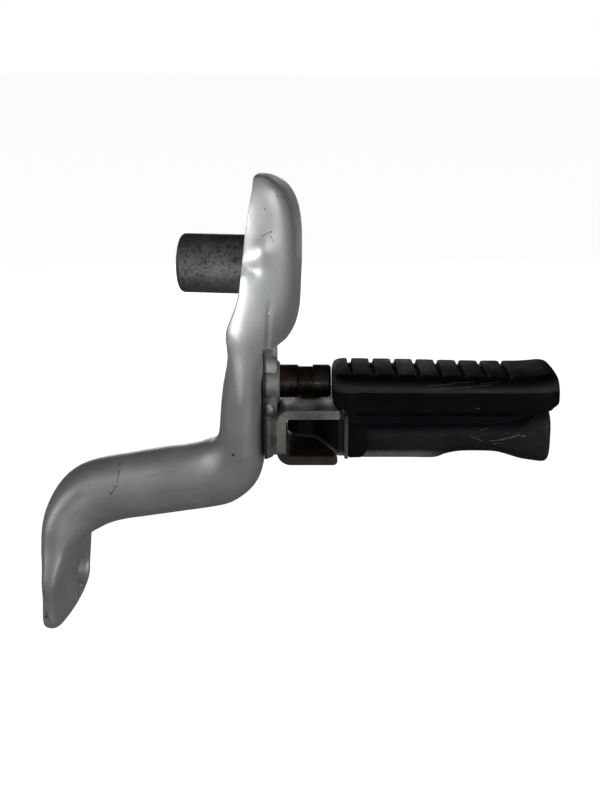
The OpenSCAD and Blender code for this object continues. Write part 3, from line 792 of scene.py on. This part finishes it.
def build_arm():
    """The formed tube, with its bolt hole, collar seat and flat seat."""
    sides, per_row = 144, 9
    last = len(ARM_ROWS) - 1
    rings = []
    for k in range(last * per_row + 1):
        row = spline(ARM_ROWS, k / per_row)
        rings.append([arm_point(row, 2 * math.pi * i / sides) for i in range(sides)])
    bm = bmesh.new()
    skin(bm, rings)
    bmesh.ops.recalc_face_normals(bm, faces=bm.faces)
    ease_bends(bm)
    press_forms(bm)
    arm = new_object("arm_body", bm, 60)
    y, z = EAR_BORE
    reach, rim, over = 12, 1.2, 0.1
    wide = EAR_BORE_R + rim
    ear = [(0, -reach), (wide, -reach), (wide, -EAR_HALF_T - over), (EAR_BORE_R, -EAR_HALF_T + rim)]
    ear += [(r, -d) for r, d in reversed(ear)]
    hole = lathe("ear_hole", ear, Vector((EAR_X - 0.6, y, z)) * MM, (1, 0, 0))
    seat = [(0, -1), (COLLAR_R, -1), (COLLAR_R, COLLAR_LENGTH), (0, COLLAR_LENGTH)]
    pocket = lathe("collar_seat", seat, Vector(), (1, 0, 0))
    flat = box_object("flat_seat", (-SEAT_DEPTH, -30, PLATE_BOTTOM - 8), (20, 30, PLATE_TOP + 4))
    cut(arm, hole, pocket, flat)
    bm = bmesh.new()
    bm.from_mesh(arm.data)
    bpy.data.objects.remove(arm)
    return new_object("arm_body", bm, 40)


def build_collar():
    """The collar with its rounded rim."""
    chamfer = 0.8
    profile = [(COLLAR_BORE_R, COLLAR_START + chamfer), (COLLAR_BORE_R + chamfer, COLLAR_START)]
    for a in map(math.radians, range(0, 91, 9)):
        inward, along = COLLAR_RIM * (1 - math.sin(a)), COLLAR_RIM * (1 - math.cos(a))
        profile.append((COLLAR_R - inward, COLLAR_START + along))
    profile += [(COLLAR_R, COLLAR_LENGTH), (COLLAR_BORE_R, COLLAR_LENGTH)]
    return lathe("collar_body", profile, Vector(), (1, 0, 0), 128, 50)


# Each row of the core: position, middle height, half height, half width
CORE_ROWS = [
    [CORE_START, -86, 10.2, 16],
    [60, -86, 10.2, 16],
    [72, -86, 10.2, 16],
    [84, -86, 10.2, 16],
    [90, -85, 9.2, 15.5],
    [98, -84.3, 8.5, 15.5],
    [112, -84.3, 8.5, 16],
    [118, -84.7, 9, 17],
    [126, -84.8, 11.3, 18.6],
    [132, -83.4, 13.8, 19.6],
    [137, -83.2, 14.6, 20],
    [139, -83.2, 14.2, 19.4],
    [CORE_END, -83.2, 13, 18],
]


CORE_SQUARENESS = 0.62


def build_core():
    """The black bar under the rubber, with the knuckle that turns on the pin."""
    sides, per_row = 96, 6
    bm = bmesh.new()
    rings = []
    for k in range((len(CORE_ROWS) - 1) * per_row + 1):
        x, mid, half_h, half_w = spline(CORE_ROWS, k / per_row)
        ring = []
        for i in range(sides):
            a = 2 * math.pi * i / sides
            across, up = spow(math.cos(a), CORE_SQUARENESS), spow(math.sin(a), CORE_SQUARENESS)
            ring.append(peg_point(x, half_w * across, mid + half_h * up))
        rings.append(ring)
    skin(bm, rings)
    bar = new_object("core_bar", bm, 50)
    front, rear = PIN_AT[1] - KNUCKLE_R + KNUCKLE_EASE, PIN_AT[1] + KNUCKLE_R - KNUCKLE_EASE
    curve = ((PIN_AT[0] + 2, front), (PIN_AT[0] + 6, 5), (END_PLATE_X - 2.9, NECK_SIDE))
    plan, steps = [(PIN_AT[0], front)], 16
    for i in range(steps + 1):
        u = i / steps
        plan.append(tuple((1 - u) ** 2 * p + 2 * u * (1 - u) * q + u * u * r for p, q, r in zip(*curve)))
    plan += [(END_PLATE_X, NECK_SIDE), (END_PLATE_X, PIN_AT[1] - 1)]
    plan += [(PIN_AT[0] + 8, rear - 1), (PIN_AT[0], rear)]
    neck = prism("core_neck", plan, peg_point, KNUCKLE_Z[0], NECK_TOP)
    bottom, top = KNUCKLE_Z
    well = [(0, 0), (SPRING_WELL_R, 0), (SPRING_WELL_R, 20), (0, 20)]
    cut(neck, lathe("spring_well", well, peg_point(*PIN_AT, top), (0, 0, 1)))
    soften(neck, 0.6)
    r, e = KNUCKLE_R, KNUCKLE_EASE
    ring = [(BUSH_R, bottom), (r - e, bottom), (r, bottom + e), (r, NECK_TOP - e), (r - e, NECK_TOP)]
    ring += [(SPRING_WELL_R, NECK_TOP), (SPRING_WELL_R, top), (BUSH_R, top)]
    knuckle = lathe("core_knuckle", ring, peg_point(*PIN_AT, 0), (0, 0, 1))
    inner = box_object("core_inner", (END_PLATE_X - 1, -BAR_HALF_W, BAR_Z[0]), (52, BAR_HALF_W, BAR_Z[1]))
    return join("core_body", [bar, neck, knuckle, inner])


# Each row of the tread's side view: position, top, bottom, half width
PAD_ROWS = [
    [RUBBER_START, -53.5, -64, 13],
    [RUBBER_START + 0.5, -52, -66, 16.5],
    [RUBBER_START + 1.6, -50.9, -67.2, 19],
    [RUBBER_START + 3.4, -50.4, -67.6, 20.6],
    [39, -50.2, -67.7, 21.5],
    [46, -50.4, -67.7, 22],
    [60, -50.6, -67.7, 22],
    [75, -50.9, -67.7, 22],
    [90, -51.3, -67.7, 22],
    [105, -51.6, -67.7, 22],
    [120, -51.7, -67.7, 22],
    [128, -51.6, -67.6, 21.7],
    [134, -51.1, -67.4, 21.3],
    [137, -50.7, -67.2, 21],
    [140, -50.8, -67, 20.3],
    [142, -51.6, -66.7, 18.8],
    [143.4, -53.2, -66.2, 17],
    [144.2, -55.6, -65.6, 15],
    [RUBBER_END, -58.5, -64.6, 12.5],
]
CREASE_A = -58.6
CREASE_B = -69.6

# The stations from a groove's middle outward, and the distance from it that is cleared of others
GROOVE_STEPS = (0, 0.5, 0.85, 1.0, 1.1, 1.25, 1.5)
GROOVE_CLEAR = 1.6


def lip_bottom(x):
    """The tread's lower edge, which sweeps up to the outer end."""
    return -75.3 + 6.8 * smooth((x - 114) / 25)


def pad_stations():
    """Positions along the tread, close together at each groove's walls."""
    stations = {RUBBER_START, RUBBER_END}
    x = RUBBER_START
    while x < RUBBER_END:
        stations.add(round(x, 3))
        x += 0.4 if x < 38 or x > 136 else 1.1
    for i in range(GROOVE_COUNT):
        at = GROOVE_FIRST + GROOVE_PITCH * i
        stations = {s for s in stations if abs(s - at) > GROOVE_CLEAR}
        stations |= {at + side * d for d in GROOVE_STEPS for side in (-1, 1)}
    return sorted(stations)


def groove_depth(x):
    """How deep the tread's groove is at a position, and how far the tread rounds off beside it."""
    away = min(abs(x - (GROOVE_FIRST + GROOVE_PITCH * i)) for i in range(GROOVE_COUNT))
    eased = 0.4 * max(0, 1 - max(away - 1, 0) / 1.6) ** 2
    return GROOVE_DEPTH * (1 - smooth((away - 0.75) / 0.5)) + eased


def groove_share(across, near):
    """The share of a groove's depth that is left at a distance from the tread's middle."""
    start, length = GROOVE_NEAR if near else GROOVE_FAR
    return 1 - smooth((across - start) / length)


def half_section(x, near):
    """The tread's section at a position from its crown to its underside, on the near or the far side."""
    at = [r[0] for r in PAD_ROWS]
    i = min(max(k for k in range(len(at)) if at[k] <= x + 1e-6), len(at) - 2)
    _, top, low, half_w = spline(PAD_ROWS, i + (x - at[i]) / (at[i + 1] - at[i]))
    start = smooth((x - END_PLATE_X - 1.2) / 0.9)
    end = 1 - smooth((x - 138.5) / 3)
    bottom = low + (lip_bottom(x) - low) * start * end
    depth = groove_depth(x)
    crown = CROWN_SHARE * half_w
    points = []
    for k in range(19):
        across = crown * k / 18
        points.append((across, top - CROWN_FALL * (k / 18) ** 2 - depth * groove_share(across, near)))
    shoulder = top - CROWN_FALL
    side_top = max(shoulder - SHOULDER_DROP, bottom + 1.5)
    for k in range(1, 19):
        a = math.radians(90 * k / 18)
        across = crown + (half_w - crown) * math.sin(a)
        z = shoulder - (shoulder - side_top) * (1 - math.cos(a))
        dip = depth * groove_share(across, near)
        points.append((across - 0.35 * dip, z - 0.65 * dip))
    span = smooth((x - 42) / 4) * (1 - smooth((x - 112) / 26))
    lip = bottom + LIP_HEIGHT
    for k in range(47):
        z = side_top + (lip - side_top) * k / 46
        dent = 0.6 * ridge(z - CREASE_A, 0.45) + 0.9 * smooth((CREASE_A - z) / 6)
        dent += ridge(z - CREASE_B, 0.55) - 0.6 * smooth((CREASE_B + 1 - z) / 2)
        points.append((half_w - dent * span, z))
    edge = points[-1][0]
    for k in range(1, 7):
        a = math.radians(15 * k)
        points.append((edge - LIP_WIDTH * (1 - math.cos(a)), bottom + LIP_HEIGHT * (1 - math.sin(a))))
    inner = points[-1][0]
    points += [(inner * (1 - k / 8), bottom) for k in range(1, 9)]
    return points


def pad_section(x):
    """A ring of the tread at a position: (across, height) pairs round the section."""
    far, near = half_section(x, False), half_section(x, True)
    return far + [(-a, z) for a, z in reversed(near[1:-1])]


# The block's outer edge, an S in the side view: position and height
BLOCK_EDGE = [
    (52.8, -74.5), (52.4, -76.2), (50.6, -77.6), (49.8, -80), (50.2, -82.6), (50.8, -85),
    (50.6, -87.6), (49.6, -89.8), (48.6, -91.6), (47, -92.8),
]


def build_rubber():
    """The tread pad with its grooves, creases and lip, and the block that wraps the bar's inner end."""
    bm = bmesh.new()
    skin(bm, [[peg_point(x, a, z) for a, z in pad_section(x)] for x in pad_stations()])
    pad = new_object("rubber_pad", bm, 50)
    outline = [(BLOCK_START, -69), (53, -69)] + BLOCK_EDGE + [(BLOCK_START, -93)]
    block = prism("rubber_block", outline, lambda u, v, w: peg_point(u, w, v), -BLOCK_HALF_W, BLOCK_HALF_W)
    soften(block, 1.1, 4, 50)
    return join("rubber_body", [pad, block])


def build_bead(name, points, radius, ripple, pitch=1.44):
    """A weld bead along a line of peg-side points, rippled by a share of its radius at a pitch in radii."""
    bm = bmesh.new()
    places = [tuple(peg_point(*p)) for p in points]
    sides, per_point = 20, 14
    dense = [Vector(spline(places, k / per_point)) for k in range((len(places) - 1) * per_point + 1)]
    rings, travelled = [], 0.0
    for k, p in enumerate(dense):
        nxt, prev = dense[min(k + 1, len(dense) - 1)], dense[max(k - 1, 0)]
        if k:
            travelled += (p - dense[k - 1]).length / MM
        t = (nxt - prev).normalized()
        u = t.orthogonal().normalized()
        v = t.cross(u)
        size = radius * max(1 - abs(2 * k / (len(dense) - 1) - 1) ** 2.4, 0.01) ** 0.5
        size *= 1 + ripple * math.sin(travelled * 2 * math.pi / (pitch * radius))
        turns = [2 * math.pi * i / sides for i in range(sides)]
        rings.append([p + MM * size * (u * math.cos(a) + v * math.sin(a)) for a in turns])
    skin(bm, rings)
    return new_object(name, bm, 70)


# The weld bead below the boss: distance from the seat, distance across and height
BOSS_BEAD = [(0.2, PLATE_FRONT + 0.6, -67.6), (1.9, PLATE_FRONT + 0.2, -71), (3.9, PLATE_FRONT + 0.6, -75.2)]


def build_world():
    """A white world for the camera, and for all other rays one that is darker overhead and to the rear."""
    world = bpy.data.worlds.new("studio")
    bpy.context.scene.world = world
    world.use_nodes = True
    nodes, links = world.node_tree.nodes, world.node_tree.links
    split = nodes.new("ShaderNodeSeparateXYZ")
    links.new(nodes.new("ShaderNodeTexCoord").outputs["Generated"], split.inputs[0])
    sky = nodes.new("ShaderNodeValToRGB")
    for element, (at, level) in zip(sky.color_ramp.elements, SKY_GREYS):
        element.position = at
        element.color = grey4(level)
    links.new(split.outputs["Z"], sky.inputs["Fac"])
    rear = nodes.new("ShaderNodeMapRange")
    rear.inputs["From Min"].default_value, rear.inputs["From Max"].default_value = REAR_FROM
    rear.inputs["To Min"].default_value, rear.inputs["To Max"].default_value = REAR_TO
    links.new(split.outputs["Y"], rear.inputs["Value"])
    dim = nodes.new("ShaderNodeVectorMath")
    dim.operation = "MULTIPLY"
    links.new(sky.outputs["Color"], dim.inputs[0])
    links.new(rear.outputs["Result"], dim.inputs[1])
    white = nodes.new("ShaderNodeMix")
    white.data_type = "RGBA"
    links.new(nodes.new("ShaderNodeLightPath").outputs["Is Camera Ray"], white.inputs[0])
    links.new(dim.outputs[0], white.inputs[6])
    white.inputs[7].default_value = grey4(1)
    links.new(white.outputs[2], nodes["Background"].inputs["Color"])


def build_floor():
    """A pale floor that glows for the camera alone, so that it looks white and lights little."""
    bm = bmesh.new()
    half, height = FLOOR_HALF, cad_box[0][2] - FLOOR_DROP
    corners = ((-half, -half), (half, -half), (half, half), (-half, half))
    bm.faces.new([bm.verts.new((x, y, height)) for x, y in corners])
    floor = new_object("floor", bm)
    material = bpy.data.materials.new("floor")
    material.use_nodes = True
    nodes, links = material.node_tree.nodes, material.node_tree.links
    shader = nodes["Principled BSDF"]
    shader.inputs["Base Color"].default_value = grey4(FLOOR_GREY)
    shader.inputs["Roughness"].default_value = FLOOR_ROUGHNESS
    factor = nodes.new("ShaderNodeMath")
    factor.operation = "MULTIPLY"
    factor.inputs[1].default_value = FLOOR_GLOW
    links.new(nodes.new("ShaderNodeLightPath").outputs["Is Camera Ray"], factor.inputs[0])
    glow = nodes.new("ShaderNodeEmission")
    links.new(factor.outputs[0], glow.inputs["Strength"])
    total = nodes.new("ShaderNodeAddShader")
    links.new(shader.outputs[0], total.inputs[0])
    links.new(glow.outputs[0], total.inputs[1])
    links.new(total.outputs[0], nodes["Material Output"].inputs["Surface"])
    dress(floor, material)


def add_lamp(light, place, aim):
    """Stands a light at a place, turned to a point."""
    lamp = bpy.data.objects.new(light.name, light)
    lamp.location = place
    lamp.rotation_euler = (aim - lamp.location).to_track_quat("-Z", "Y").to_euler()
    bpy.context.scene.collection.objects.link(lamp)


def build_lamps():
    for name, place, width, power in LAMPS:
        light = bpy.data.lights.new(name, "AREA")
        light.size = width
        light.energy = power
        add_lamp(light, place, LAMP_AIM)
    spot = bpy.data.lights.new("kicker", "SPOT")
    spot.energy = KICKER_POWER
    spot.spot_size = math.radians(KICKER_CONE)
    spot.spot_blend = 1
    spot.shadow_soft_size = KICKER_RADIUS
    add_lamp(spot, KICKER_AT, KICKER_AIM)


def build_camera():
    scene = bpy.context.scene
    data = bpy.data.cameras.new("camera")
    data.sensor_width = SENSOR_MM
    data.lens = FOCAL_PX / LONG_SIDE_PX * SENSOR_MM
    camera = bpy.data.objects.new("camera", data)
    right, up, back_way = camera_axes()
    rotation = Matrix((right, up, back_way)).transposed().to_4x4()
    camera.matrix_world = Matrix.Translation(CAMERA_TARGET + CAMERA_DISTANCE * back_way) @ rotation
    scene.collection.objects.link(camera)
    scene.camera = camera
    scene.view_settings.view_transform = "Standard"


def photo_spot(obj, x, y):
    """The point of an object that the photograph's pixel (x, y) looks at."""
    right, up, back_way = camera_axes()
    eye = CAMERA_TARGET + CAMERA_DISTANCE * back_way
    x, y = x - IMAGE_CENTRE[0], IMAGE_CENTRE[1] - y
    way = (x / FOCAL_PX * right + y / FOCAL_PX * up - back_way).normalized()
    hit, place, _, _ = obj.ray_cast(eye, way)
    return tuple(place) if hit else None


# Pixels of the marks on the arm's paint, each with its radius in millimetres
ARM_MARKS = [
    (233, 455, 0.9), (120, 465, 0.5), (119, 471, 0.4), (118, 478, 0.4), (114, 486, 0.4), (110, 493, 0.5),
    (89, 485, 0.35), (54, 515, 0.4), (46, 617, 0.9), (78, 592, 0.9), (44, 592, 0.5), (283, 190, 0.7),
    (277, 196, 0.4), (265, 209, 0.4), (271, 232, 0.45), (289, 254, 0.4), (286, 309, 0.45), (282, 265, 0.3),
    (246, 229, 0.5),
]

# Pixels of the two ends of the scratches, and of two dark lines of painted shade, each with its half width in
# millimetres
ARM_SCRATCHES_AND_SHADE_LINES = [
    (120, 462, 119, 474, 0.45), (119, 474, 117, 483, 0.35), (117, 486, 110, 495, 0.4),
    (93, 462, 100, 470, 0.25), (150, 476, 176, 471, 0.16), (196, 466, 226, 461, 0.2),
    # The last two here make one dark line of painted shade along the run's top edge, not scratches
    (158, 493, 196, 488, 0.14), (86, 458, 150, 449, 0.4), (150, 449, 206, 439, 0.35),
    (284, 189, 288, 193, 0.35), (281, 196, 285, 199, 0.3), (262, 236, 272, 231, 0.3),
    (270, 235, 274, 243, 0.25), (46, 612, 50, 622, 0.35), (78, 588, 79, 597, 0.3),
    # A dark line of painted shade along the crease where the tube passes in front of the dish, not a scratch
    (269, 305, 268, 350, 0.35),
]
CORE_SCRATCHES = [
    (490, 441, 500, 440, 0.2), (501, 440, 508, 438, 0.28), (509, 438, 519, 435, 0.3),
    (522, 436, 525, 436, 0.35), (493, 444, 503, 443, 0.15), (480, 430, 489, 428, 0.12),
    (470, 436, 482, 441, 0.12),
]
RUBBER_SCRATCHES = [
    (428, 386, 452, 384, 0.16), (440, 389, 470, 387, 0.14), (452, 383, 474, 382, 0.16),
    (466, 387, 492, 385, 0.14), (480, 384, 500, 382, 0.12), (424, 390, 446, 389, 0.12),
    (476, 408, 479, 409, 0.35), (340, 372, 343, 366, 0.2),
]


def line_ends(obj, table):
    """The two points on the object of each line of a table of pixels."""
    found = [(photo_spot(obj, x0, y0), photo_spot(obj, x1, y1), w) for x0, y0, x1, y1, w in table]
    return [s for s in found if s[0] and s[1]]


build_world()
build_floor()
build_lamps()
build_camera()
arm = build_arm()
marks = [(photo_spot(arm, x, y), r) for x, y, r in ARM_MARKS]
paint = silver_paint([(p, r) for p, r in marks if p], line_ends(arm, ARM_SCRATCHES_AND_SHADE_LINES))
core, rubber = build_core(), build_rubber()
plain_paint = silver_paint()
steel = bare_steel()
zinc = zinc_steel()
grease_and_shade = grease_and_shade_paint()
dull_zinc = zinc_steel(0.35)

MADE = [
    (arm, "bracket", "silver_paint", paint, ["bracket_arm"]),
    (build_collar(), "bracket", "bare_steel", collar_steel(), ["mounting_collar"]),
    (core, "peg", "black_paint", black_paint(line_ends(core, CORE_SCRATCHES)), ["peg_core"]),
    (rubber, "peg", "tread_rubber", tread_rubber(line_ends(rubber, RUBBER_SCRATCHES)), ["peg_rubber"]),
]
MADE.append((build_bead("boss_bead", BOSS_BEAD, 2.7, 0.05), "bracket", "silver_paint", grease_and_shade, ["boss_weld"]))
for piece, body, slot_name, material, nodes in MADE:
    dress(piece, material)
    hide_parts(*nodes)
    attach(piece, body)

KEPT = {
    "collar_weld": plain_paint, "base_plate": grease_and_shade, "pivot_boss": grease_and_shade, "clevis_welds": grease_and_shade,
    "pedal_pivot": rusty_steel(), "clevis": steel, "fold_pin": zinc, "pin_washer": zinc, "split_pin": zinc,
    "return_spring": spring_steel(), "pin_bush": bush_bronze(), "peg_end_plate": dull_zinc,
    "rubber_screws": zinc, "screw_washers": zinc,
}

# The radius of the edges of solids that are shown as they are, in millimetres
EDGE_RADII = {"clevis": 0.5, "base_plate": 0.6, "pivot_boss": 0.3, "peg_end_plate": 0.3}
for name, material in KEPT.items():
    dress(NODES[name], material)
for name, width in EDGE_RADII.items():
    soften(NODES[name], width)
